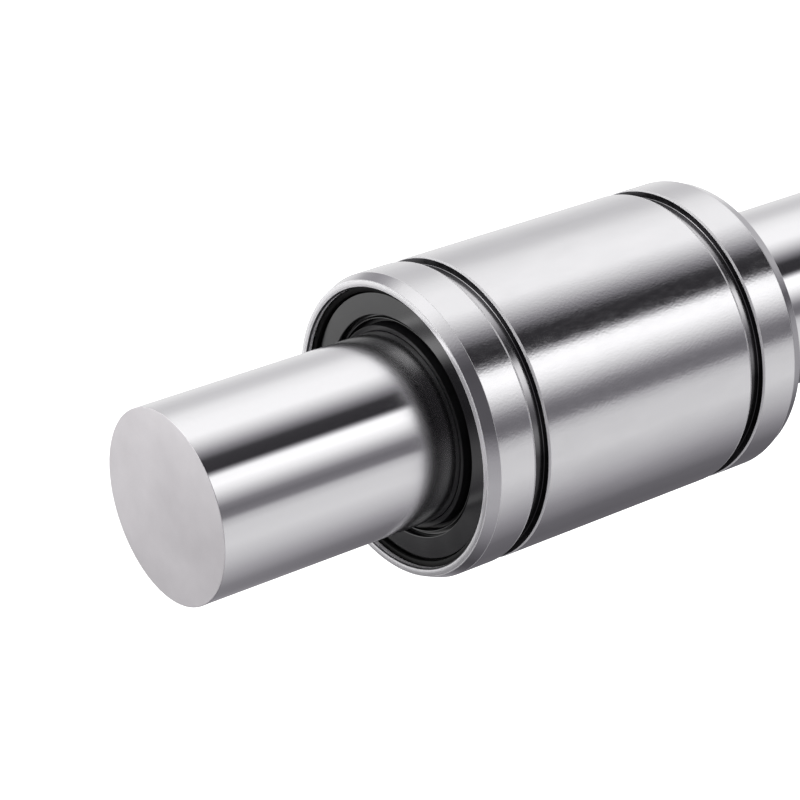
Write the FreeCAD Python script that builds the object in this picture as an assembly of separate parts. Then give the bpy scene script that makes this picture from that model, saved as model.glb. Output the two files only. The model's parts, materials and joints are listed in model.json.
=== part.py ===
# Linear ball bearing on its shaft: closed ball circuits in a sealed round sleeve.
# The bearing lies along X with its middle at the origin, its front end towards -X, and +Z up.
# Lengths are in millimetres and angles in degrees.
import FreeCAD, Part
import math
import os

# Shaft
shaft_diameter = 20.0
shaft_length = 100.0
shaft_front_stub = 27.0       # from the bearing's front face to the shaft's front end
shaft_edge_break = 0.1

# Balls
ball_diameter = 3.175
ball_play = 0.02              # between a loaded ball and the shaft, and between it and its land
circuit_count = 5
turn_ball_count = 2           # balls in each half-circle turn
turn_ball_gap = 0.05          # between neighbouring balls in a turn

# Sleeve, outside
sleeve_length = 42.0
seat_wall = 1.35              # round the seal's seat, which sets the outside diameter
end_chamfer_depth = 0.5
end_chamfer_length = 1.25
groove_span = 30.5            # between the outer walls of the two retaining grooves
groove_width = 1.6
groove_depth = 0.75
groove_edge_break = 0.1

# Sleeve, inside
land_height = 0.835           # of the ball lands above the reliefs beside them
land_width = 4.0
land_end_gap = 0.14           # between the ground land and a ball at the start of its turn
land_run_off = 1.1
seat_step = 0.6               # from the reliefs out to the seal's seat
seat_depth = 3.1              # from the end face in to the seat's shoulder
mouth_chamfer_depth = 0.2
mouth_chamfer_length = 0.2

# Cage
relief_clearance = 0.08       # between a returning ball and the sleeve
channel_clearance = 0.06      # between a ball and its channel in the cage
cage_bore_clearance = 0.25    # between the cage and the shaft
cage_fit = 0.15               # between the cage and the reliefs, and between it and a land's top
cage_key_clearance = 0.15     # between the cage and each side of a land
cage_end_play = 0.2
cage_end_wall = 1.0           # least wall between a turn and the cage's end
cage_edge_break = 0.25

# Seals, with heights measured outwards from the seat's shoulder
seal_setback = 1.1            # from the sleeve's end face down to the seal's raised face
seal_flange = 1.55
seal_fit = 0.02               # between the seal and its seat
seal_edge_round = 0.15
lip_clearance = 0.03          # between the lip and the shaft
lip_width = 0.57              # of the lip's front, from its tip outwards
lip_height = 2.25             # the lip's front stands a little proud of the raised face
lip_slope = 0.12              # from the lip's front edge back to its tip
lip_edge = 0.1                # length of the tip along the shaft
lip_root_step = 0.42          # from the tip out to the foot of the lip's back
valley_floor = 0.7
ridge_radius_step = 1.11      # from the shaft's surface out to the ridge
ridge_width = 0.16
ridge_setback = 0.4           # from the raised face down to the ridge
ring_groove_width = 0.38      # of the narrow groove outside the ridge
ring_groove_depth = 0.9
seal_draft = 0.03             # lean of the walls of the lip, the ridge and the narrow groove

# Stiffening core in each seal
core_thickness = 0.5
core_inner_step = 1.6         # from the shaft's surface out to the core's hole
core_seat_overlap = 0.15      # how far the core reaches onto the seat's shoulder
core_rim_width = 0.5
core_rim_height = 1.0
core_rim_inset = 0.8          # from the core's outside in to its upturned rim

# Snap rings
snap_ring_thickness = 0.8
snap_ring_width = 0.87
snap_groove_depth = 0.35
snap_groove_play = 0.05       # along the axis
snap_ring_root_gap = 0.02     # between the ring and the floor of its groove
snap_ring_opening = 28.0      # angle of the opening between the ring's ends
snap_ring_turn = -31.0        # where the opening is, from +Y towards +Z
seal_boss_gap = 0.16          # between the seal's raised part and the ring

# Radii, from the shaft outwards
shaft_radius = shaft_diameter / 2
ball_radius = ball_diameter / 2
load_path_radius = shaft_radius + ball_play + ball_radius
land_radius = load_path_radius + ball_radius + ball_play
relief_radius = land_radius + land_height
seat_radius = relief_radius + seat_step
sleeve_radius = seat_radius + seat_wall
groove_floor_radius = sleeve_radius - groove_depth
snap_groove_radius = seat_radius + snap_groove_depth

# Ball circuit: two straight lanes joined by half-circle turns that lie in one plane
turn_radius = (ball_diameter + turn_ball_gap) / (2 * math.sin(math.pi / 2 / turn_ball_count))
ball_pitch = math.pi * turn_radius / turn_ball_count
return_path_radius = relief_radius - relief_clearance - ball_radius
turn_height = math.sqrt(return_path_radius**2 - turn_radius**2)
load_height = math.sqrt(load_path_radius**2 - turn_radius**2)
load_lane_angle = math.degrees(math.atan2(turn_radius, load_height))
circuit_angle = 360.0 / circuit_count

# Places along the axis, from the middle outwards
sleeve_half = sleeve_length / 2
shoulder = sleeve_half - seat_depth
seal_height = seat_depth - seal_setback
snap_ring_inner_face = shoulder + seal_flange + snap_groove_play
cage_half = shoulder - cage_end_play

# Cage
channel_radius = ball_radius + channel_clearance
cage_bore_radius = shaft_radius + cage_bore_clearance
cage_radius = relief_radius - cage_fit
cage_slot_radius = land_radius - cage_fit
turn_reach = turn_radius + channel_radius
lane_ball_count = int(2 * (cage_half - cage_end_wall - turn_reach) / ball_pitch)
lane_half = lane_ball_count * ball_pitch / 2
land_half = lane_half - ball_radius - land_end_gap
outside = 2 * sleeve_radius   # well clear of every cut

AXIS = FreeCAD.Vector(1, 0, 0)
UP = FreeCAD.Vector(0, 0, 1)
ORIGIN = FreeCAD.Vector(0, 0, 0)


def point(x, y, z):
    return FreeCAD.Vector(x, y, z)


def face_of(points):
    return Part.Face(Part.makePolygon(points + [points[0]]))


def turned(profile):
    """Turn a closed outline of (place along the axis, radius) pairs about the axis."""
    return face_of([point(x, radius, 0) for x, radius in profile]).revolve(ORIGIN, AXIS, 360)


def ring(start, end, inner, outer):
    return turned([(start, inner), (end, inner), (end, outer), (start, outer)])


def rolled(shape, angle):
    """Copy a shape and turn it about the bearing's axis."""
    copy = shape.copy()
    copy.rotate(ORIGIN, AXIS, angle)
    return copy


def far_end(shape):
    """Mirror a piece of the front end to the rear end."""
    return shape.mirror(ORIGIN, AXIS)


def each_circuit(shape):
    return [rolled(shape, number * circuit_angle) for number in range(circuit_count)]


def slab(half_length, width, inner, outer):
    """A bar along the axis that stands over the loaded lane of the first circuit."""
    bar = Part.makeBox(2 * half_length, width, outer - inner, point(-half_length, -width / 2, inner))
    return rolled(bar, load_lane_angle)


# Shaft

def make_shaft():
    front = -sleeve_half - shaft_front_stub
    rear = front + shaft_length
    edge = shaft_radius - shaft_edge_break
    return turned([
        (front, 0),
        (front, edge),
        (front + shaft_edge_break, shaft_radius),
        (rear - shaft_edge_break, shaft_radius),
        (rear, edge),
        (rear, 0),
    ])


# Outer sleeve

def sleeve_outline():
    """The rear half of the sleeve's section: the outside first, and then back along the inside."""
    groove_outer = groove_span / 2
    groove_inner = groove_outer - groove_width
    broken = sleeve_radius - groove_edge_break
    snap_outer = snap_ring_inner_face + snap_ring_thickness + snap_groove_play
    snap_inner = snap_ring_inner_face - snap_groove_play
    return [
        (groove_inner - groove_edge_break, sleeve_radius),
        (groove_inner, broken),
        (groove_inner, groove_floor_radius),
        (groove_outer, groove_floor_radius),
        (groove_outer, broken),
        (groove_outer + groove_edge_break, sleeve_radius),
        (sleeve_half - end_chamfer_length, sleeve_radius),
        (sleeve_half, sleeve_radius - end_chamfer_depth),
        (sleeve_half, seat_radius + mouth_chamfer_depth),
        (sleeve_half - mouth_chamfer_length, seat_radius),
        (snap_outer, seat_radius),
        (snap_outer, snap_groove_radius),
        (snap_inner, snap_groove_radius),
        (snap_inner, seat_radius),
        (shoulder, seat_radius),
        (shoulder, relief_radius),
    ]


def make_lands():
    """Ground strips that the loaded balls roll on, tapered away at both ends."""
    land_end = land_half + land_run_off
    root = relief_radius + groove_edge_break
    strips = turned([
        (-land_half, land_radius),
        (land_half, land_radius),
        (land_end, relief_radius),
        (land_end, root),
        (-land_end, root),
        (-land_end, relief_radius),
    ])
    return each_circuit(strips.common(slab(land_end, land_width, 0, outside)))


def make_sleeve():
    rear_half = sleeve_outline()
    front_half = [(-x, radius) for x, radius in reversed(rear_half)]
    return turned(rear_half + front_half).fuse(make_lands()).removeSplitter()


# Ball circuits, built for the first circuit, whose middle points up, and then rolled round the axis

def straight_balls(lateral, height):
    return [
        point((number + 0.5) * ball_pitch - lane_half, lateral, height)
        for number in range(lane_ball_count)
    ]


def turn_balls(side):
    """Ball centres round a turn: side is 1 at the rear and -1 at the front."""
    centres = []
    for number in range(turn_ball_count):
        swing = math.pi * (number + 0.5) / turn_ball_count
        along = side * (lane_half + turn_radius * math.sin(swing))
        centres.append(point(along, -turn_radius * math.cos(swing), turn_height))
    return centres


def balls_at(centres):
    return Part.makeCompound([Part.makeSphere(ball_radius, centre) for centre in centres])


ball_groups = {
    "loaded_balls": balls_at(straight_balls(-turn_radius, load_height)),
    "return_balls": balls_at(straight_balls(turn_radius, turn_height)),
    "front_turn_balls": balls_at(turn_balls(-1)),
    "rear_turn_balls": balls_at(turn_balls(1)),
}


# Cage

def channel_section(x, lateral, height):
    """The U of an open channel, square to its lane: a round floor and upright walls."""
    left = lateral - channel_radius
    right = lateral + channel_radius
    floor = Part.Arc(point(x, left, height), point(x, lateral, height - channel_radius), point(x, right, height))
    walls = Part.makePolygon([
        point(x, right, height),
        point(x, right, outside),
        point(x, left, outside),
        point(x, left, height),
    ])
    return Part.Face(Part.Wire([floor.toShape()] + walls.Edges))


def channel_well(x):
    """Room for the last loaded ball where its lane meets the turn: round in plan, with a round floor."""
    depth = load_height - channel_radius
    side = channel_radius * math.sqrt(0.5)
    floor = Part.Arc(
        point(0, 0, depth),
        point(side, 0, load_height - side),
        point(channel_radius, 0, load_height),
    )
    rest = Part.makePolygon([
        point(channel_radius, 0, load_height),
        point(channel_radius, 0, outside),
        point(0, 0, outside),
        point(0, 0, depth),
    ])
    well = Part.Face(Part.Wire([floor.toShape()] + rest.Edges)).revolve(ORIGIN, UP, 360)
    well.translate(point(x, -turn_radius, 0))
    return well


def make_channel():
    """The closed track of one circuit, as the shape to cut out of the cage."""
    whole_lane = AXIS * (2 * lane_half)
    return_lane = channel_section(-lane_half, turn_radius, turn_height).extrude(whole_lane)
    loaded_lane = channel_section(-lane_half, -turn_radius, load_height).extrude(whole_lane)
    rear_turn = channel_section(lane_half, -turn_radius, turn_height).revolve(point(lane_half, 0, 0), UP, 180)
    front_turn = channel_section(-lane_half, turn_radius, turn_height).revolve(point(-lane_half, 0, 0), UP, 180)
    pieces = [loaded_lane, rear_turn, front_turn, channel_well(lane_half), channel_well(-lane_half)]
    return return_lane.fuse(pieces)


def make_cage():
    """A tube keyed onto the lands by a slot over each, with one closed ball track per circuit."""
    edge = cage_radius - cage_edge_break
    tube = turned([
        (-cage_half, cage_bore_radius),
        (cage_half, cage_bore_radius),
        (cage_half, edge),
        (cage_half - cage_edge_break, cage_radius),
        (-cage_half + cage_edge_break, cage_radius),
        (-cage_half, edge),
    ])
    slot = slab(outside, land_width + 2 * cage_key_clearance, 0, outside)
    slot = slot.cut(Part.makeCylinder(cage_slot_radius, 4 * outside, AXIS * (-2 * outside), AXIS))
    return tube.cut(each_circuit(slot) + each_circuit(make_channel()))


# Seal at the rear end, mirrored for the front end

core_radius = relief_radius + core_seat_overlap
core_bore_radius = shaft_radius + core_inner_step
core_rim_radius = core_radius - core_rim_inset


def make_core():
    """Steel ring bonded in the back of the seal, with an upturned rim."""
    top = shoulder + core_thickness
    rim_top = top + core_rim_height
    rim_inner = core_rim_radius - core_rim_width
    return turned([
        (shoulder, core_bore_radius),
        (shoulder, core_radius),
        (top, core_radius),
        (top, core_rim_radius),
        (rim_top, core_rim_radius),
        (rim_top, rim_inner),
        (top, rim_inner),
        (top, core_bore_radius),
    ])


def make_seal():
    """Rubber ring: outer flange, raised flat face, narrow groove, thin ridge, valley and wiping lip."""
    boss_radius = snap_groove_radius - snap_ring_root_gap - snap_ring_width - seal_boss_gap
    ridge_inner = shaft_radius + ridge_radius_step
    ridge_outer = ridge_inner + ridge_width
    face_inner = ridge_outer + ring_groove_width
    lip_tip = shaft_radius + lip_clearance
    lip_outer = lip_tip + lip_width
    tip_height = lip_height - lip_slope
    groove_floor = seal_height - ring_groove_depth
    ridge_top = seal_height - ridge_setback
    outline = [
        (0, lip_tip + lip_root_step),
        (0, seat_radius - seal_fit),
        (seal_flange, seat_radius - seal_fit),
        (seal_flange, boss_radius),
        (seal_height, boss_radius),
        (seal_height, face_inner),
        (groove_floor, face_inner - seal_draft),
        (groove_floor, ridge_outer + seal_draft),
        (ridge_top, ridge_outer),
        (ridge_top, ridge_inner),
        (valley_floor, ridge_inner - seal_draft),
        (valley_floor, lip_outer + seal_draft),
        (lip_height, lip_outer),
        (tip_height, lip_tip),
        (tip_height - lip_edge, lip_tip),
    ]
    rubber = turned([(shoulder + height, radius) for height, radius in outline])
    face_edges = [
        edge for edge in rubber.Edges
        if isinstance(edge.Curve, Part.Circle)
        and abs(edge.Curve.Center.x - shoulder - seal_height) < seal_edge_round / 2
    ]
    return rubber.makeFillet(seal_edge_round, face_edges).cut(make_core())


def make_snap_ring():
    """Flat spring ring with an opening between its ends."""
    outer = snap_groove_radius - snap_ring_root_gap
    end = snap_ring_inner_face + snap_ring_thickness
    whole = ring(snap_ring_inner_face, end, outer - snap_ring_width, outer)
    reach = 2 * outer
    half_opening = math.radians(snap_ring_opening / 2)
    side = reach * math.tan(half_opening)
    wedge = face_of([point(0, 0, 0), point(0, reach, side), point(0, reach, -side)])
    return whole.cut(rolled(wedge.extrude(AXIS * outside), snap_ring_turn))


# Writing the pieces out

def write(node, shape):
    shape.exportStep(os.path.join("parts", node + ".step"))
    print(node, len(shape.Solids), "solids,", round(shape.Volume, 2), "cubic mm")


os.makedirs("parts", exist_ok=True)
write("shaft", make_shaft())
write("outer_sleeve", make_sleeve())
write("ball_cage", make_cage())
for piece, rear_shape in [
    ("seal", make_seal()),
    ("seal_core", make_core()),
    ("snap_ring", make_snap_ring()),
]:
    write(piece + "_rear", rear_shape)
    write(piece + "_front", far_end(rear_shape))
for group, balls in ball_groups.items():
    for number, placed in enumerate(each_circuit(balls), 1):
        write(group + "_" + str(number), placed)

print("outside diameter", round(2 * sleeve_radius, 3), "groove floor diameter", round(2 * groove_floor_radius, 3))
print("turn radius", round(turn_radius, 4), "ball pitch", round(ball_pitch, 4))
print("turn height", round(turn_height, 4), "load height", round(load_height, 4), "lane half", round(lane_half, 4))
print("cage floor under a turn", round(turn_height - channel_radius - cage_bore_radius, 3))
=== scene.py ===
# %% [markdown]
# # A linear ball bearing on its shaft
#
# The object is a closed round ball bearing, sealed at both ends, on a polished steel shaft. The packed
# model gives every piece its size and place. This lesson dresses the pieces that show, with rounded edges
# and finishes, some of them with painted light and shade, and lights them as in a product photograph.

# %% Load the imported model
import bpy
import json
import math
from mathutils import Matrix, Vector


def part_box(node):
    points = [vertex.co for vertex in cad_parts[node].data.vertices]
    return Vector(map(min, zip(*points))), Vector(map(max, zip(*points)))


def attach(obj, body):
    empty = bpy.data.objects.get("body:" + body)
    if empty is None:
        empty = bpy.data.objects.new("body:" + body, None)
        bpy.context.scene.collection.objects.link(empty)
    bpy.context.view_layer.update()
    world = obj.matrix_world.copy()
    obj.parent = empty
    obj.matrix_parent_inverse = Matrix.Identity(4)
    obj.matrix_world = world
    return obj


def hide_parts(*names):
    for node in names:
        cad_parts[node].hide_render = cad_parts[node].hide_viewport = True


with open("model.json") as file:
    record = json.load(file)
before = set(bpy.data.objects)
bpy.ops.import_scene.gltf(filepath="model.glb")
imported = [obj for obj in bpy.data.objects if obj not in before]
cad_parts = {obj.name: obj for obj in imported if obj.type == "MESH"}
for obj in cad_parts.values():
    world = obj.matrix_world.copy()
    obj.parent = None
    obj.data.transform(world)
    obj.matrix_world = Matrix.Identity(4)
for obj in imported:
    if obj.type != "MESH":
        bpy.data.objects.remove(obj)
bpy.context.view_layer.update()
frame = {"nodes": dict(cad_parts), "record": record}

print("nodes loaded:", len(frame["nodes"]))

# %% [markdown]
# ## Sizes
#
# The bearing lies along X with its middle at the origin. What a node's box can tell is read from it, so a
# piece modelled here always fits the piece it stands for. The smaller steps of each section are written
# out once, where the piece is made.

# %% Read the main sizes from the frame
mm = 0.001


def measured(length):
    """A length of the frame, to the nearest hundredth of a millimetre."""
    return round(length, 5)


def ends(node):
    """Where a node starts and ends along X."""
    low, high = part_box(node)
    return measured(low[0]), measured(high[0])


def outer_radius(node):
    return measured(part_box(node)[1][2])


FACE_SETBACK = 1.1 * mm       # from the end of the sleeve in to the seal's raised face
SEAL_FIT = 0.02 * mm          # between a seal and its seat

sleeve_half = ends("outer_sleeve")[1]
sleeve_radius = outer_radius("outer_sleeve")
shaft_radius = outer_radius("shaft")
shoulder, lip_front = ends("seal_rear")
seal_face = sleeve_half - FACE_SETBACK
seat_radius = outer_radius("seal_rear") + SEAL_FIT
print("sleeve radius and half length, mm:", sleeve_radius / mm, sleeve_half / mm)
print("seal from", shoulder / mm, "to", lip_front / mm, "mm, its raised face at", seal_face / mm)

# %% [markdown]
# ## The camera
#
# The photograph was taken with a long lens from in front, to the left and above. The long lens keeps the
# two grooves nearly parallel. The camera stands about 30 cm from the bearing, as for a close product shot.

# %% Place the camera
CAMERA_PLACE = (-178.57 * mm, -206.93 * mm, 132.87 * mm)
CAMERA_TURN = 37.497          # degrees from +Y towards +X
CAMERA_DIP = 26.480           # degrees below the horizon
CAMERA_LENS = 130.80          # millimetres on a 36 mm wide sensor

camera_data = bpy.data.cameras.new("camera")
camera_data.lens = CAMERA_LENS
camera_data.sensor_width = 36
camera = bpy.data.objects.new("camera", camera_data)
camera.location = CAMERA_PLACE
camera.rotation_euler = (math.radians(90 - CAMERA_DIP), 0, math.radians(-CAMERA_TURN))
bpy.context.collection.objects.link(camera)
bpy.context.scene.camera = camera
bpy.context.scene.view_settings.view_transform = "Standard"
print("camera", round(camera.location.length / mm), "mm from the bearing's middle")

# %% [markdown]
# ## The studio
#
# Polished steel has no look of its own: it shows the room. The photograph's bright and dark stripes are
# soft boxes, a dark table and one black card, seen in the round steel. Cards in the scene could do this,
# but a ramp in the world shader is smoother and has no noise. A ramp goes round the bearing's axis, where
# 0 degrees is level in front of it, 90 is overhead and -90 is straight down. Five of them stand one
# behind another along the axis. The round walls mirror what is towards the rear, and the near half of the
# shaft mirrors a paler stretch of the same table. The front chamfer mirrors what is beside the bearing, and
# the rear chamfer the wall behind it. The flat faces mirror what is beyond the front end, where a lamp
# overhead also puts the glints on the rubber.

# %% The lights and cards round the bearing
REAR_RING = [
    # angle in degrees, brightness
    (-180, 0.80),
    (-166, 0.86),             # pale floor behind
    (-157, 0.78),
    (-150, 0.28),
    (-142, 0.15),
    (-124, 0.135),            # dark table below
    (-110, 0.125),
    (-92, 0.145),
    (-72, 0.30),
    (-52, 0.55),
    (-32, 0.76),              # pale table in front
    (-12, 0.72),
    (-4, 0.55),
    (1, 0.20),                # grey strip at the horizon
    (8, 0.17),
    (14, 0.24),
    (21, 0.55),
    (30, 1.00),
    (38, 1.30),               # key soft box
    (47, 1.25),
    (51, 0.40),
    (54, 0.03),               # black card over the key
    (68, 0.03),
    (76, 0.24),
    (88, 0.72),
    (99, 1.08),               # overhead soft box
    (118, 1.06),
    (134, 0.94),
    (147, 0.71),
    (158, 0.65),
    (170, 0.71),
    (180, 0.80),
]
NEAR_LOW = [                  # replaces the table of the rear ring for the near half of the shaft
    (-180, 0.80),
    (-166, 0.86),
    (-157, 0.80),
    (-150, 0.55),
    (-140, 0.40),             # the table's nearer part is paler
    (-124, 0.28),
    (-110, 0.24),
    (-94, 0.26),
    (-72, 0.44),
    (-52, 0.62),
]
MIDDLE_RING = [
    (-180, 0.75),
    (-160, 1.10),             # bright backdrop, low behind
    (-150, 0.95),
    (-144, 0.35),
    (-136, 0.12),
    (-124, 0.10),             # dark table below
    (-112, 0.10),
    (-97, 0.07),
    (-81, 0.13),
    (-64, 0.27),
    (-46, 0.43),
    (-28, 0.46),              # grey table in front
    (-10, 0.38),
    (0, 0.24),
    (9, 0.10),                # black card in front
    (30, 0.10),
    (54, 0.08),
    (65, 0.14),
    (75, 0.45),
    (84, 0.70),
    (93, 0.97),
    (102, 1.12),              # overhead soft box
    (118, 1.08),
    (129, 0.97),
    (137, 0.68),
    (146, 0.42),
    (156, 0.34),
    (168, 0.40),
    (180, 0.75),
]
FRONT_RING = [
    (-180, 2.00),             # bright backdrop, low behind
    (-168, 1.90),
    (-158, 1.35),
    (-150, 1.20),
    (-147, 0.50),
    (-143, 0.13),
    (-136, 0.08),             # dark edge of the table
    (-124, 0.08),
    (-118, 0.80),             # pale floor below
    (-98, 0.80),
    (-90, 0.25),
    (-70, 0.45),
    (-46, 0.70),              # grey table in front
    (-20, 0.60),
    (-8, 0.40),
    (3, 0.25),
    (14, 0.12),               # black card in front
    (80, 0.12),
    (92, 1.00),
    (102, 2.20),              # lamp overhead
    (120, 2.20),
    (134, 0.80),
    (145, 0.60),
    (160, 0.80),
    (180, 2.00),
]
END_RING = [
    (-180, 0.52),             # grey wall behind the rear end
    (-122, 0.20),
    (-106, 0.25),
    (-89, 0.35),
    (-60, 0.39),
    (-35, 0.28),
    (-5, 0.11),
    (25, 0.11),               # its dark doorway
    (70, 0.28),
    (95, 0.40),
    (124, 0.52),
    (180, 0.52),
]
TABLE_EDGE = -50              # degrees
NEAR_RING = NEAR_LOW + [stop for stop in REAR_RING if stop[0] > TABLE_EDGE]
TAKE_OVER = [
    # a ring, and how far a direction leans towards the rear end, from -1 to 1, where it comes in
    (NEAR_RING, 0.30, 0.45),
    (REAR_RING, 0.46, 0.54),
    (END_RING, 0.80, 0.90),
    (FRONT_RING, -0.25, -0.45),
]
SHADE_TINT = (0.05, 0.0, 0.12)   # shadows in the photograph lean a little to violet


def node_link(tree, start, end):
    tree.links.new(start, end)


def tinted(brightness):
    """A grey of some brightness, with more of the tint the darker it is."""
    shade = max(0.0, 1.0 - brightness) ** 2
    return [brightness * (1 + shade * tint) for tint in SHADE_TINT] + [1]


def add_ring(tree, turn, stops):
    """One ramp round the axis, whose first and last stops are alike so that the ring closes."""
    ring = tree.nodes.new("ShaderNodeValToRGB")
    ramp = ring.color_ramp
    ramp.elements[0].position = 0
    ramp.elements[1].position = 1
    for angle, brightness in stops[1:-1]:
        ramp.elements.new((angle + 180) / 360)
    for element, (angle, brightness) in zip(ramp.elements, stops):
        element.color = tinted(brightness)
    node_link(tree, turn, ring.inputs[0])
    return ring.outputs[0]


print("rings of lights and cards:", 1 + len(TAKE_OVER))

# %% Join the rings in the world shader


def turn_round_axis(tree, split):
    """The angle of a direction round X, from 0 to 1 for -180 to 180 degrees."""
    forward = tree.nodes.new("ShaderNodeMath")
    forward.operation = "MULTIPLY"
    forward.inputs[1].default_value = -1
    angle = tree.nodes.new("ShaderNodeMath")
    angle.operation = "ARCTAN2"
    share = tree.nodes.new("ShaderNodeMapRange")
    share.inputs["From Min"].default_value = -math.pi
    share.inputs["From Max"].default_value = math.pi
    node_link(tree, split.outputs["Y"], forward.inputs[0])
    node_link(tree, split.outputs["Z"], angle.inputs[0])
    node_link(tree, forward.outputs[0], angle.inputs[1])
    node_link(tree, angle.outputs[0], share.inputs["Value"])
    return share.outputs[0]


def pass_to_ring(tree, split, room, ring, start, end):
    """Passes from the room so far to another ring as the direction leans along X between two limits."""
    share = tree.nodes.new("ShaderNodeMapRange")
    share.interpolation_type = "SMOOTHSTEP"
    share.inputs["From Min"].default_value = start
    share.inputs["From Max"].default_value = end
    node_link(tree, split.outputs["X"], share.inputs["Value"])
    mix = tree.nodes.new("ShaderNodeMix")
    mix.data_type = "RGBA"
    mix.clamp_result = False
    node_link(tree, share.outputs[0], mix.inputs["Factor"])
    node_link(tree, room, mix.inputs["A"])
    node_link(tree, ring, mix.inputs["B"])
    return mix.outputs["Result"]


def make_studio():
    """World light from all the rings, with a white backdrop for the camera itself."""
    world = bpy.data.worlds.new("studio")
    bpy.context.scene.world = world
    world.use_nodes = True
    tree = world.node_tree
    tree.nodes.clear()
    direction = tree.nodes.new("ShaderNodeTexCoord")
    split = tree.nodes.new("ShaderNodeSeparateXYZ")
    node_link(tree, direction.outputs["Generated"], split.inputs[0])
    turn = turn_round_axis(tree, split)
    room = add_ring(tree, turn, MIDDLE_RING)
    for stops, start, end in TAKE_OVER:
        room = pass_to_ring(tree, split, room, add_ring(tree, turn, stops), start, end)
    light = tree.nodes.new("ShaderNodeBackground")
    backdrop = tree.nodes.new("ShaderNodeBackground")
    backdrop.inputs["Color"].default_value = (1, 1, 1, 1)
    seen = tree.nodes.new("ShaderNodeLightPath")
    mix = tree.nodes.new("ShaderNodeMixShader")
    out = tree.nodes.new("ShaderNodeOutputWorld")
    node_link(tree, room, light.inputs["Color"])
    node_link(tree, seen.outputs["Is Camera Ray"], mix.inputs[0])
    node_link(tree, light.outputs[0], mix.inputs[1])
    node_link(tree, backdrop.outputs[0], mix.inputs[2])
    node_link(tree, mix.outputs[0], out.inputs[0])


make_studio()
print("studio joined")

# %% [markdown]
# The floor only closes the picture. It is well below the bearing, pale and bright, so no hard shadow
# falls on it, and the steel doesn't mirror it, because the ring of lights already gives the table.

# %% Lay the floor
FLOOR_DROP = 90 * mm
FLOOR_WIDTH = 8.0


def make_floor():
    bpy.ops.object.select_all(action="DESELECT")
    bpy.ops.mesh.primitive_plane_add(size=FLOOR_WIDTH, location=(0, 0, -FLOOR_DROP))
    floor = bpy.context.active_object
    floor.name = "floor"
    pale = bpy.data.materials.new("pale floor")
    pale.use_nodes = True
    shader = pale.node_tree.nodes["Principled BSDF"]
    shader.inputs["Base Color"].default_value = (0.9, 0.9, 0.9, 1)
    shader.inputs["Emission Color"].default_value = (1, 1, 1, 1)
    shader.inputs["Emission Strength"].default_value = 1.0
    floor.data.materials.append(pale)
    floor.visible_glossy = False
    floor.visible_diffuse = False


make_floor()
print("floor", FLOOR_DROP / mm, "mm below the axis")

# %% [markdown]
# ## How a turned piece is made
#
# The sleeve, the seals and the rings were all turned or moulded round one axis. Each is made the way a
# lathe makes it: its section is drawn as one loop of edges, by extruding a single vertex from corner to
# corner, and the loop is spun round the axis. A bevel then rounds the edges, because a real edge always
# catches a thin line of light, and weighted normals keep the wide faces true beside the narrow ones.

# %% Helpers for turned pieces
WELD = 0.0001 * mm


def start_vertex(name, place):
    """A new object in edit mode that is one selected vertex."""
    bpy.ops.object.select_all(action="DESELECT")
    bpy.ops.mesh.primitive_plane_add(size=mm)
    piece = bpy.context.active_object
    piece.name = name
    piece.data.name = name
    bpy.ops.object.mode_set(mode="EDIT")
    bpy.ops.mesh.select_all(action="SELECT")
    bpy.ops.mesh.merge(type="CENTER")
    bpy.ops.transform.translate(value=place)
    return piece


def draw_section(name, corners, turn=90.0):
    """The closed section of a turned piece, from (place along the axis, radius) pairs.

    The section stands on the axis at a turn from +Y towards +Z, in degrees.
    """
    across = math.cos(math.radians(turn))
    up = math.sin(math.radians(turn))
    places = [(x, radius * across, radius * up) for x, radius in corners]
    piece = start_vertex(name, places[0])
    for before, after in zip(places, places[1:] + places[:1]):
        step = [b - a for a, b in zip(before, after)]
        bpy.ops.mesh.extrude_region_move(TRANSFORM_OT_translate={"value": step})
    bpy.ops.mesh.select_all(action="SELECT")
    bpy.ops.mesh.remove_doubles(threshold=WELD)
    return piece


def spin_section(steps, angle=360.0):
    """Spins what is selected round the axis, from +Z towards +Y, and closes the seam."""
    bpy.ops.mesh.spin(steps=steps, angle=math.radians(angle), center=(0, 0, 0), axis=(1, 0, 0))
    bpy.ops.mesh.select_all(action="SELECT")
    bpy.ops.mesh.remove_doubles(threshold=WELD)
    bpy.ops.mesh.normals_make_consistent(inside=False)
    bpy.ops.object.mode_set(mode="OBJECT")


def round_edges(piece, width, segments=3, sharpest=25):
    """Rounds every edge sharper than a given angle, and keeps wide faces flat to the eye."""
    bevel = piece.modifiers.new("rounded edges", "BEVEL")
    bevel.width = width
    bevel.segments = segments
    bevel.limit_method = "ANGLE"
    bevel.angle_limit = math.radians(sharpest)
    bevel.use_clamp_overlap = True
    bpy.ops.object.modifier_apply(modifier=bevel.name)
    bpy.ops.object.shade_smooth()
    weights = piece.modifiers.new("true wide faces", "WEIGHTED_NORMAL")
    weights.weight = 100
    bpy.ops.object.modifier_apply(modifier=weights.name)
    print(piece.name, "faces:", len(piece.data.polygons))


def mirror_to_front(piece, name):
    """A copy with its own mesh, turned end for end about the vertical axis."""
    bpy.ops.object.select_all(action="DESELECT")
    piece.select_set(True)
    bpy.context.view_layer.objects.active = piece
    bpy.ops.object.duplicate()
    copy = bpy.context.active_object
    copy.name = name
    copy.data.name = name
    copy.rotation_euler = (0, 0, math.pi)
    bpy.ops.object.transform_apply(location=False, rotation=True, scale=False)
    return copy


def dress(piece, material, body, node):
    """Gives a finished piece its finish and its body, and hides the node that it stands for."""
    piece.data.materials.append(material)
    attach(piece, body)
    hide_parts(node)


print("helpers ready")
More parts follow.
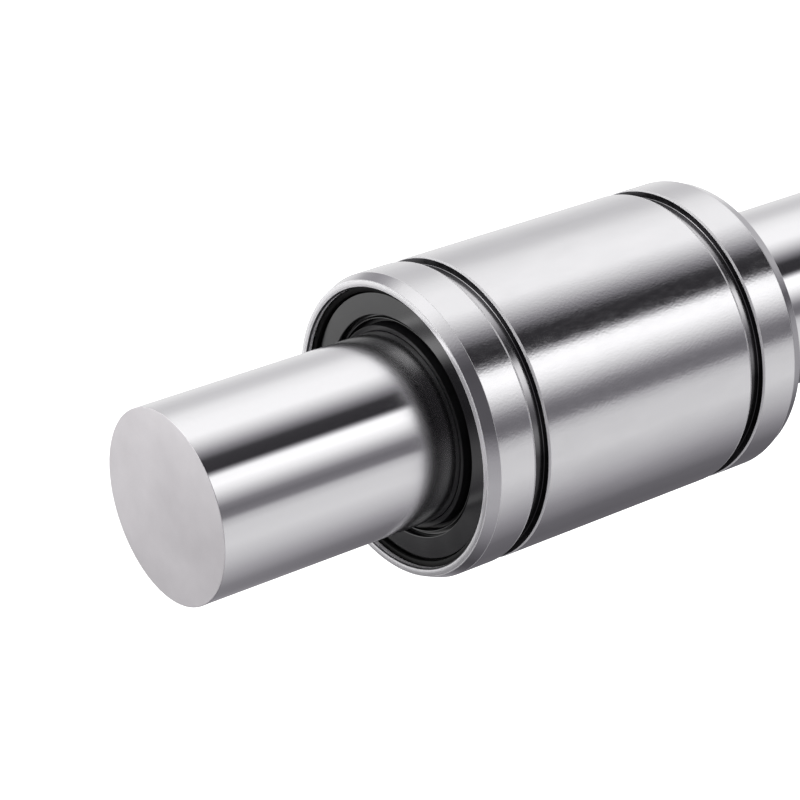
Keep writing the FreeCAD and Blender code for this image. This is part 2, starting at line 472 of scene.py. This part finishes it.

# %% [markdown]
# ## Steel finishes
#
# What differs from one steel to another is how it was worked. The shaft is ground and polished, the sleeve
# only ground, so its grinding marks blur what it mirrors, and the walls of the grooves keep the dark scale
# of the heat treatment. These are mirrors with a metallic value of 1. An edge or a narrow rim is too small
# to show what it mirrors and only gathers light from all round, so it gets a paler colour and a lower
# metallic value, a painted highlight that comes out as an even bright line; so do the seats. The grooves'
# floors get painted light above and painted shade below. The marks are noise that is stretched round the
# piece, on Object coordinates, so that they stay in the steel from every side.

# %% Helpers for materials
NOISE_LOW = 0.3               # nearly all of a noise texture lies between these two values
NOISE_HIGH = 0.7


def new_material(name):
    material = bpy.data.materials.new(name)
    material.use_nodes = True
    return material, material.node_tree, material.node_tree.nodes["Principled BSDF"]


def noise_on(tree, scale, size, detail=3.0):
    """Noise on Object coordinates, stretched by a scale along each axis."""
    coordinates = tree.nodes.new("ShaderNodeTexCoord")
    stretch = tree.nodes.new("ShaderNodeMapping")
    stretch.inputs["Scale"].default_value = scale
    noise = tree.nodes.new("ShaderNodeTexNoise")
    noise.inputs["Scale"].default_value = size
    noise.inputs["Detail"].default_value = detail
    node_link(tree, coordinates.outputs["Object"], stretch.inputs[0])
    node_link(tree, stretch.outputs[0], noise.inputs["Vector"])
    return noise.outputs["Fac"]


def above(tree, value, start, end, low, high):
    """Keeps a low value where what is read is under a start, and rises to a high one at an end."""
    spread = tree.nodes.new("ShaderNodeMapRange")
    spread.inputs["From Min"].default_value = start
    spread.inputs["From Max"].default_value = end
    spread.inputs["To Min"].default_value = low
    spread.inputs["To Max"].default_value = high
    node_link(tree, value, spread.inputs["Value"])
    return spread.outputs[0]


def between(tree, value, low, high):
    """Maps noise, which stays near a half, to a range of values."""
    return above(tree, value, NOISE_LOW, NOISE_HIGH, low, high)


def tint_between(tree, value, dark, light):
    """Maps noise to a colour between two others."""
    mix = tree.nodes.new("ShaderNodeMix")
    mix.data_type = "RGBA"
    mix.inputs["A"].default_value = (*dark, 1)
    mix.inputs["B"].default_value = (*light, 1)
    node_link(tree, between(tree, value, 0, 1), mix.inputs["Factor"])
    return mix.outputs["Result"]


def bump_from(tree, shader, value, strength, depth):
    bump = tree.nodes.new("ShaderNodeBump")
    bump.inputs["Strength"].default_value = strength
    bump.inputs["Distance"].default_value = depth
    node_link(tree, value, bump.inputs["Height"])
    node_link(tree, bump.outputs[0], shader.inputs["Normal"])


# %% The sleeve's ground steel


def ground_steel():
    material, tree, shader = new_material("ground steel")
    shader.inputs["Metallic"].default_value = 1.0
    marks = noise_on(tree, (1, 3, 3), 700, detail=4.0)
    patches = noise_on(tree, (1, 2, 2), 160, detail=3.0)
    node_link(tree, tint_between(tree, patches, (0.775, 0.768, 0.785), (0.81, 0.802, 0.82)),
              shader.inputs["Base Color"])
    node_link(tree, between(tree, marks, 0.09, 0.16), shader.inputs["Roughness"])
    bump_from(tree, shader, noise_on(tree, (1, 1.3, 1.3), 3000, detail=3.0), 0.6, 0.009 * mm)
    return material


sleeve_finish = ground_steel()
print("made", sleeve_finish.name)

# %% The grooves' floors with painted light and shade, the pale steel of the painted highlights, and the scale
FLOOR_SHADE_PAINTED_BELOW = 1 * mm     # height above the axis up to which a groove's floor is painted dark, as painted shade
FLOOR_LIGHT_PAINTED_ABOVE = 8 * mm   # and from which it is painted bright, as painted light
PAINTED_HIGHLIGHT_TINT = (1.0, 0.992, 1.01)   # red, green and blue of the pale steel of the painted highlights, as shares of its tone
PAINTED_HIGHLIGHT_PATCH = 0.95            # its darkest patches, as a share of its tone
PAINTED_HIGHLIGHT_SPREAD = 0.04           # how far its roughness goes up and down


def floor_steel_painted_light_and_shade():
    """The floors of the grooves: painted light on the upper side and painted shade below, by height."""
    material, tree, shader = new_material("groove floor painted light and shade")
    shader.inputs["Metallic"].default_value = 1.0
    marks = noise_on(tree, (6, 1, 1), 900)
    coordinates = tree.nodes.new("ShaderNodeTexCoord")
    split = tree.nodes.new("ShaderNodeSeparateXYZ")
    node_link(tree, coordinates.outputs["Object"], split.inputs[0])
    # painted light and shade: the floor's colour goes from dark below to bright above with height above the
    # axis
    painted_light_share = above(tree, split.outputs["Z"], FLOOR_SHADE_PAINTED_BELOW, FLOOR_LIGHT_PAINTED_ABOVE, 0, 1)
    mix = tree.nodes.new("ShaderNodeMix")
    mix.data_type = "RGBA"
    mix.inputs["A"].default_value = (0.06, 0.058, 0.062, 1)
    mix.inputs["B"].default_value = (0.60, 0.592, 0.61, 1)
    node_link(tree, painted_light_share, mix.inputs["Factor"])
    node_link(tree, mix.outputs["Result"], shader.inputs["Base Color"])
    node_link(tree, between(tree, marks, 0.17, 0.22), shader.inputs["Roughness"])
    return material


def pale_steel_painted_highlight(name, tone, metallic, roughness):
    """Pale steel with a low metallic value, a painted highlight that shows as an even bright line: for the
    edges, the end rims and the seal seats.
    """
    material, tree, shader = new_material(name)
    shader.inputs["Metallic"].default_value = metallic
    patches = noise_on(tree, (1, 1, 1), 700)
    light = [tone * share for share in PAINTED_HIGHLIGHT_TINT]
    dark = [PAINTED_HIGHLIGHT_PATCH * value for value in light]
    node_link(tree, tint_between(tree, patches, dark, light), shader.inputs["Base Color"])
    spread = between(tree, patches, roughness - PAINTED_HIGHLIGHT_SPREAD, roughness + PAINTED_HIGHLIGHT_SPREAD)
    node_link(tree, spread, shader.inputs["Roughness"])
    return material


def groove_scale():
    """Dark oxide from the heat treatment, on the walls that no wheel reached."""
    material, tree, shader = new_material("groove scale")
    shader.inputs["Metallic"].default_value = 1.0
    marks = noise_on(tree, (6, 1, 1), 900)
    node_link(tree, tint_between(tree, marks, (0.035, 0.034, 0.037), (0.06, 0.058, 0.063)),
              shader.inputs["Base Color"])
    node_link(tree, between(tree, marks, 0.3, 0.45), shader.inputs["Roughness"])
    return material


floor_painted_light_and_shade_finish = floor_steel_painted_light_and_shade()
scale_finish = groove_scale()
# painted highlight: near-white steel with a low metallic value, for the edges and the seal seats
edge_painted_highlight_finish = pale_steel_painted_highlight("edge painted highlight", 0.98, 0.1, 0.30)
# lapped, and partly painted highlight: a paler, partly diffuse steel for the end rims
rim_partly_painted_highlight_finish = pale_steel_painted_highlight("lapped rim partly painted highlight", 0.86, 0.40, 0.20)
print("made", floor_painted_light_and_shade_finish.name, scale_finish.name, edge_painted_highlight_finish.name, "and", rim_partly_painted_highlight_finish.name)

# %% [markdown]
# ## The outer sleeve
#
# The sleeve is the large ground tube. Its section is a long thin loop: the outside with two grooves for
# retaining rings, a chamfer and a flat rim at each end, and inside a seat for each seal. Inside it also
# has ground strips for the loaded balls, which are added as bars along the bore.

# %% Spin the sleeve
SLEEVE_STEPS = 240
GROOVE_OUTER = 15.25 * mm
GROOVE_WIDTH = 1.6 * mm
GROOVE_DEPTH = 0.75 * mm
END_CHAMFER = (1.25 * mm, 0.5 * mm)
MOUTH_CHAMFER = (0.2 * mm, 0.2 * mm)
RING_PLAY = 0.05 * mm         # along the axis, on each side of a snap ring
RING_ROOT_GAP = 0.02 * mm
RELIEF_RADIUS = 14.05 * mm    # of the bore between the lands
GROOVE_BREAK = (0.2 * mm, 0.07 * mm)   # along the axis and inwards, at both edges of a groove
SLEEVE_EDGE = 0.07 * mm
SHARPEST_SMOOTH = 15          # degrees, so that the low break at a groove is rounded too


def sleeve_corners():
    """The rear half of the section: the outside towards the end, then back along the inside."""
    groove_inner = GROOVE_OUTER - GROOVE_WIDTH
    floor_radius = sleeve_radius - GROOVE_DEPTH
    snap_inner, snap_outer = ends("snap_ring_rear")
    snap_radius = outer_radius("snap_ring_rear") + RING_ROOT_GAP
    break_length, break_depth = GROOVE_BREAK
    rear = [
        (groove_inner - break_length, sleeve_radius),
        (groove_inner, sleeve_radius - break_depth),
        (groove_inner, floor_radius),
        (GROOVE_OUTER, floor_radius),
        (GROOVE_OUTER, sleeve_radius - break_depth),
        (GROOVE_OUTER + break_length, sleeve_radius),
        (sleeve_half - END_CHAMFER[0], sleeve_radius),
        (sleeve_half, sleeve_radius - END_CHAMFER[1]),
        (sleeve_half, seat_radius + MOUTH_CHAMFER[1]),
        (sleeve_half - MOUTH_CHAMFER[0], seat_radius),
        (snap_outer + RING_PLAY, seat_radius),
        (snap_outer + RING_PLAY, snap_radius),
        (snap_inner - RING_PLAY, snap_radius),
        (snap_inner - RING_PLAY, seat_radius),
        (shoulder, seat_radius),
        (shoulder, RELIEF_RADIUS),
    ]
    return rear + [(-x, radius) for x, radius in reversed(rear)]


def make_sleeve():
    piece = draw_section("sleeve", sleeve_corners())
    spin_section(SLEEVE_STEPS)
    round_edges(piece, SLEEVE_EDGE, sharpest=SHARPEST_SMOOTH)
    return piece


sleeve = make_sleeve()
dress(sleeve, sleeve_finish, "bearing", "outer_sleeve")

# %% [markdown]
# A turning tool cut the grooves and the chamfers of the mouths, and the oven left scale on them that no
# wheel took off. The floors of the grooves get painted light above and painted shade below. The end rims
# were lapped and, like the seats and the sharp edges of the rims and grooves, get a paler steel as a
# painted highlight. The faces are told apart by their place and by the way they look.

# %% Finish the grooves, the rims and the edges
SKIN = 0.03 * mm              # how near to a wall a face lies that still counts as part of it
ROUND_WALL = 0.1              # a face that leans less than this belongs to a round wall
END_WALL = 0.9                # one that leans more than this belongs to a wall across the axis
FLAT_RIM = 0.99               # and more than this, to the flat of a rim
EDGE_START = 0.03             # where the roundness of an edge starts to show
MOUTH_EDGE_START = 0.75       # where it does beside a mouth chamfer, which leans itself


def finish_faces(piece, material, belongs):
    """Gives a material to the faces for which belongs(x, radius, lean) is true.

    x is how far the face is from the bearing's middle along the axis. The lean is 0 for a face that
    looks straight out from the axis and 1 for one that looks along it.
    """
    piece.data.materials.append(material)
    last = len(piece.data.materials) - 1
    count = 0
    for face in piece.data.polygons:
        radius = math.hypot(face.center.y, face.center.z)
        if belongs(abs(face.center.x), radius, abs(face.normal.x)):
            face.material_index = last
            count += 1
    print(material.name, "on", count, "faces of", piece.name)


def in_groove(x, radius, lean):
    groove_inner = GROOVE_OUTER - GROOVE_WIDTH
    sunk = sleeve_radius - GROOVE_DEPTH - SKIN < radius < sleeve_radius - GROOVE_BREAK[1] - SKIN
    return sunk and groove_inner - SKIN < x < GROOVE_OUTER + SKIN


def is_scaled(x, radius, lean):
    on_mouth_chamfer = seat_radius + SKIN < radius < seat_radius + MOUTH_CHAMFER[1] - SKIN
    in_mouth = on_mouth_chamfer and sleeve_half - MOUTH_CHAMFER[0] < x < sleeve_half - SKIN
    return in_mouth or (in_groove(x, radius, lean) and lean > END_WALL)


def is_rim(x, radius, lean):
    return lean > FLAT_RIM and x > sleeve_half - SKIN


def is_seat(x, radius, lean):
    return lean < ROUND_WALL and abs(radius - seat_radius) < SKIN and x > shoulder


def is_edge(x, radius, lean):
    on_rim = x > sleeve_half - SLEEVE_EDGE and radius > sleeve_radius - END_CHAMFER[1] - SLEEVE_EDGE
    by_groove = radius > sleeve_radius - GROOVE_BREAK[1] - SKIN and x < sleeve_half - END_CHAMFER[0] - SKIN
    off_mouth_edge = abs(radius - seat_radius - MOUTH_CHAMFER[1])
    by_mouth = off_mouth_edge < SLEEVE_EDGE and x > sleeve_half - SLEEVE_EDGE and lean > MOUTH_EDGE_START
    return EDGE_START < lean < FLAT_RIM and (on_rim or by_groove or by_mouth)


# painted light and shade: the grooves' floors are painted bright above and dark below
finish_faces(sleeve, floor_painted_light_and_shade_finish, in_groove)
finish_faces(sleeve, scale_finish, is_scaled)
# partly painted highlight: the lapped end rims get the paler, partly diffuse rim steel
finish_faces(sleeve, rim_partly_painted_highlight_finish, is_rim)
# painted highlight: the seal seats and the edges get the near-white edge steel
finish_faces(sleeve, edge_painted_highlight_finish, is_seat)
finish_faces(sleeve, edge_painted_highlight_finish, is_edge)

# %% [markdown]
# Inside the sleeve, five ground lands carry the loaded balls. A land is a strip of ring, so its section is
# drawn along the bore, filled, and spun through only the width of the strip. Five sections give five
# lands, one for each ball circuit, and they are joined to the sleeve because they are one piece of steel.

# %% Add the lands for the loaded balls
LAND_COUNT = 5
LAND_HALF = 10.81 * mm        # to where the run-off starts
LAND_RUN_OFF = 1.1 * mm
LAND_RADIUS = 13.215 * mm
LAND_WIDTH = 4.0 * mm
LAND_ROOT = 0.1 * mm          # how far a land is sunk into the sleeve's wall
FIRST_LAND = 101.33           # degrees from +Y towards +Z
LAND_STEPS = 6


def make_land(number):
    tip = LAND_HALF + LAND_RUN_OFF
    root = RELIEF_RADIUS + LAND_ROOT
    corners = [
        (-LAND_HALF, LAND_RADIUS),
        (LAND_HALF, LAND_RADIUS),
        (tip, RELIEF_RADIUS),
        (tip, root),
        (-tip, root),
        (-tip, RELIEF_RADIUS),
    ]
    reach = 2 * math.degrees(math.asin(LAND_WIDTH / 2 / LAND_RADIUS))
    middle = FIRST_LAND + number * 360 / LAND_COUNT
    land = draw_section("land_" + str(number + 1), corners, middle + reach / 2)
    bpy.ops.mesh.edge_face_add()
    spin_section(LAND_STEPS, reach)
    return land


def join_to(piece, others):
    bpy.ops.object.select_all(action="DESELECT")
    for other in others:
        other.select_set(True)
    piece.select_set(True)
    bpy.context.view_layer.objects.active = piece
    bpy.ops.object.join()


lands = [make_land(number) for number in range(LAND_COUNT)]
join_to(sleeve, lands)
print("sleeve with", LAND_COUNT, "lands:", len(sleeve.data.polygons), "faces")

# %% [markdown]
# ## The shaft
#
# The shaft is a plain round bar. Its skin is ground and polished, and its sawn and faced end is matt. So it
# takes two materials: one for the round skin and one for the flat ends. The fine marks of the wheel run
# round the shaft, so they blur what it mirrors along its length and leave it sharp across. The shader's
# anisotropy does that, with a tangent that runs round the bar and is then turned a quarter. A cylinder is
# the right start, and a bevel breaks its two edges.

# %% Polished skin and faced ends
QUARTER_TURN = 0.25           # the shader counts whole turns


def polished_steel():
    material, tree, shader = new_material("polished steel")
    shader.inputs["Metallic"].default_value = 1.0
    shader.inputs["Anisotropic"].default_value = 1.0
    shader.inputs["Anisotropic Rotation"].default_value = QUARTER_TURN
    marks = noise_on(tree, (10, 1, 1), 1800, detail=4.0)
    node_link(tree, tint_between(tree, marks, (0.85, 0.843, 0.86), (0.88, 0.872, 0.89)),
              shader.inputs["Base Color"])
    node_link(tree, between(tree, marks, 0.115, 0.125), shader.inputs["Roughness"])
    round_it = tree.nodes.new("ShaderNodeTangent")
    round_it.direction_type = "RADIAL"
    round_it.axis = "X"
    node_link(tree, round_it.outputs[0], shader.inputs["Tangent"])
    return material


def faced_steel():
    material, tree, shader = new_material("faced steel")
    shader.inputs["Metallic"].default_value = 1.0
    clouds = noise_on(tree, (1, 1, 1), 110, detail=4.0)
    grain = noise_on(tree, (1, 1, 1), 5000, detail=2.0)
    node_link(tree, tint_between(tree, clouds, (0.72, 0.695, 0.714), (0.86, 0.835, 0.855)),
              shader.inputs["Base Color"])
    node_link(tree, between(tree, grain, 0.34, 0.48), shader.inputs["Roughness"])
    bump_from(tree, shader, grain, 0.25, 0.004 * mm)
    return material


# %% Make the shaft
SHAFT_STEPS = 192
SHAFT_BREAK = 0.05 * mm


def make_shaft():
    front, rear = ends("shaft")
    bpy.ops.object.select_all(action="DESELECT")
    bpy.ops.mesh.primitive_cylinder_add(
        vertices=SHAFT_STEPS,
        radius=shaft_radius,
        depth=rear - front,
        location=((front + rear) / 2, 0, 0),
        rotation=(0, math.pi / 2, 0),
    )
    piece = bpy.context.active_object
    piece.name = "shaft_bar"
    piece.data.name = "shaft_bar"
    bpy.ops.object.transform_apply(location=True, rotation=True, scale=True)
    round_edges(piece, SHAFT_BREAK, segments=4, sharpest=60)
    return piece


def is_end(x, radius, lean):
    return lean > ROUND_WALL


shaft = make_shaft()
dress(shaft, polished_steel(), "shaft", "shaft")
finish_faces(shaft, faced_steel(), is_end)

# %% [markdown]
# ## The seals
#
# Each seal is moulded rubber: a raised flat face, a narrow groove, a thin ridge, a deep dark valley, and
# the lip that wipes the shaft. It is spun from its section like the sleeve, with softer edges, because
# rubber never leaves a mould with a sharp corner. The lip's front stands a little proud of the face. The
# valley and the lip are duller than the rest, because the shaft's grease and dust gather there.

# %% Moulded rubber
MOULD_SPREAD = 0.03           # how far the roughness goes up and down over a seal


def moulded_rubber(name, gloss, roughness):
    material, tree, shader = new_material(name)
    shader.inputs["Specular IOR Level"].default_value = gloss
    grain = noise_on(tree, (1, 1, 1), 3500, detail=4.0)
    patches = noise_on(tree, (1, 1, 1), 300, detail=3.0)
    node_link(tree, tint_between(tree, patches, (0.005, 0.0049, 0.0056), (0.010, 0.0098, 0.011)),
              shader.inputs["Base Color"])
    spread = between(tree, patches, roughness - MOULD_SPREAD, roughness + MOULD_SPREAD)
    node_link(tree, spread, shader.inputs["Roughness"])
    bump_from(tree, shader, grain, 0.1, 0.004 * mm)
    return material


rubber = moulded_rubber("moulded rubber", 0.75, 0.19)
dull_rubber = moulded_rubber("dull rubber", 0.3, 0.45)
print("made", rubber.name, "and", dull_rubber.name)

# %% Spin the seals
SEAL_STEPS = 192
SEAL_EDGE = 0.1 * mm
SEAL_FLANGE = 1.55 * mm       # heights are measured outwards from the seat's shoulder
BOSS_RADIUS = 13.95 * mm
CORE_POCKET = (11.6 * mm, 14.2 * mm, 0.5 * mm)   # inner and outer radius, and height
FACE_INNER = 11.65 * mm
RIDGE = (11.11 * mm, 11.27 * mm)   # inner and outer radius
RIDGE_SETBACK = 0.4 * mm
NARROW_GROOVE_DEPTH = 0.9 * mm
VALLEY_FLOOR = 0.7 * mm
LIP = (10.03 * mm, 10.60 * mm)     # from its tip to its front's outer edge
LIP_HEIGHT = 2.25 * mm
LIP_SLOPE = 0.12 * mm
LIP_EDGE = 0.1 * mm
LIP_ROOT = 10.45 * mm
DRAFT = 0.03 * mm


def seal_corners():
    """The rear seal's section, from the lip's back round the outside to the face, and back to the lip."""
    flange = shoulder + SEAL_FLANGE
    groove_floor = seal_face - NARROW_GROOVE_DEPTH
    ridge_top = seal_face - RIDGE_SETBACK
    valley = shoulder + VALLEY_FLOOR
    tip = shoulder + LIP_HEIGHT - LIP_SLOPE
    core_inner, core_outer, core_height = CORE_POCKET
    return [
        (shoulder, LIP_ROOT),
        (shoulder, core_inner),
        (shoulder + core_height, core_inner),
        (shoulder + core_height, core_outer),
        (shoulder, core_outer),
        (shoulder, seat_radius - SEAL_FIT),
        (flange, seat_radius - SEAL_FIT),
        (flange, BOSS_RADIUS),
        (seal_face, BOSS_RADIUS),
        (seal_face, FACE_INNER),
        (groove_floor, FACE_INNER - DRAFT),
        (groove_floor, RIDGE[1] + DRAFT),
        (ridge_top, RIDGE[1]),
        (ridge_top, RIDGE[0]),
        (valley, RIDGE[0] - DRAFT),
        (valley, LIP[1] + DRAFT),
        (shoulder + LIP_HEIGHT, LIP[1]),
        (tip, LIP[0]),
        (tip - LIP_EDGE, LIP[0]),
    ]


def is_inside_ridge(x, radius, lean):
    return radius < RIDGE[0]


rear_seal = draw_section("rear_seal_ring", seal_corners())
spin_section(SEAL_STEPS)
round_edges(rear_seal, SEAL_EDGE)
front_seal = mirror_to_front(rear_seal, "front_seal_ring")
dress(rear_seal, rubber, "bearing", "seal_rear")
dress(front_seal, rubber, "bearing", "seal_front")
finish_faces(rear_seal, dull_rubber, is_inside_ridge)
finish_faces(front_seal, dull_rubber, is_inside_ridge)

# %% [markdown]
# ## The snap rings
#
# A flat spring ring sits in the mouth of each seat and keeps the seal in. It is open at one place, so
# its section is spun for less than a full turn. The opening is where it is in the frame.

# %% Blackened spring steel, painted darker still as painted shade


def blackened_steel_painted_shade():
    material, tree, shader = new_material("blackened steel painted shade")
    shader.inputs["Specular IOR Level"].default_value = 0.08
    grain = noise_on(tree, (1, 1, 1), 1600)
    # partly painted shade: black spring steel, painted nearly black to stand for the shade in the gap round
    # the seal
    node_link(tree, tint_between(tree, grain, (0.003, 0.003, 0.003), (0.007, 0.007, 0.007)),
              shader.inputs["Base Color"])
    node_link(tree, between(tree, grain, 0.28, 0.4), shader.inputs["Roughness"])
    return material


# %% Spin the snap rings
SNAP_OPENING = 28.0           # degrees
SNAP_TURN = -31.0             # the opening's middle, in degrees from +Y towards +Z
SNAP_WIDTH = 0.87 * mm
SNAP_EDGE = 0.06 * mm


def make_snap_ring(name, node):
    start, end = ends(node)
    outer = outer_radius(node)
    inner = outer - SNAP_WIDTH
    corners = [(start, inner), (end, inner), (end, outer), (start, outer)]
    piece = draw_section(name, corners, SNAP_TURN - SNAP_OPENING / 2)
    bpy.ops.mesh.edge_face_add()
    spin_section(SEAL_STEPS, 360 - SNAP_OPENING)
    round_edges(piece, SNAP_EDGE, segments=2)
    return piece


ring_painted_shade_finish = blackened_steel_painted_shade()
for name, node in [("front_spring_ring", "snap_ring_front"), ("rear_spring_ring", "snap_ring_rear")]:
    dress(make_snap_ring(name, node), ring_painted_shade_finish, "bearing", node)

# %% [markdown]
# ## Pieces inside
#
# The cage, the balls and the seals' steel cores are hidden, and their shapes in the frame are right. They
# stay as they are and only get a finish.

# %% Finish the pieces inside


def cage_resin():
    material, tree, shader = new_material("cage resin")
    flow = noise_on(tree, (0.3, 1, 1), 500)
    node_link(tree, tint_between(tree, flow, (0.020, 0.020, 0.022), (0.034, 0.034, 0.036)),
              shader.inputs["Base Color"])
    node_link(tree, between(tree, flow, 0.35, 0.5), shader.inputs["Roughness"])
    return material


def ball_steel():
    material, tree, shader = new_material("ball steel")
    shader.inputs["Metallic"].default_value = 1.0
    lapping = noise_on(tree, (1, 1, 1), 3000)
    node_link(tree, tint_between(tree, lapping, (0.80, 0.79, 0.81), (0.84, 0.83, 0.85)),
              shader.inputs["Base Color"])
    node_link(tree, between(tree, lapping, 0.03, 0.06), shader.inputs["Roughness"])
    return material


def core_steel():
    material, tree, shader = new_material("core steel")
    shader.inputs["Metallic"].default_value = 1.0
    grain = noise_on(tree, (1, 1, 1), 1500)
    node_link(tree, tint_between(tree, grain, (0.40, 0.40, 0.42), (0.52, 0.52, 0.54)),
              shader.inputs["Base Color"])
    node_link(tree, between(tree, grain, 0.3, 0.45), shader.inputs["Roughness"])
    return material


def finish_node(name, material):
    node = frame["nodes"][name]
    node.data.materials.clear()
    node.data.materials.append(material)


finish_by_slot = {"cage_resin": cage_resin(), "ball_steel": ball_steel(), "core_steel": core_steel()}
for part in frame["record"]["subparts"]:
    if part["material_slot"] in finish_by_slot:
        finish_node(part["node"], finish_by_slot[part["material_slot"]])
print("finished the hidden nodes")
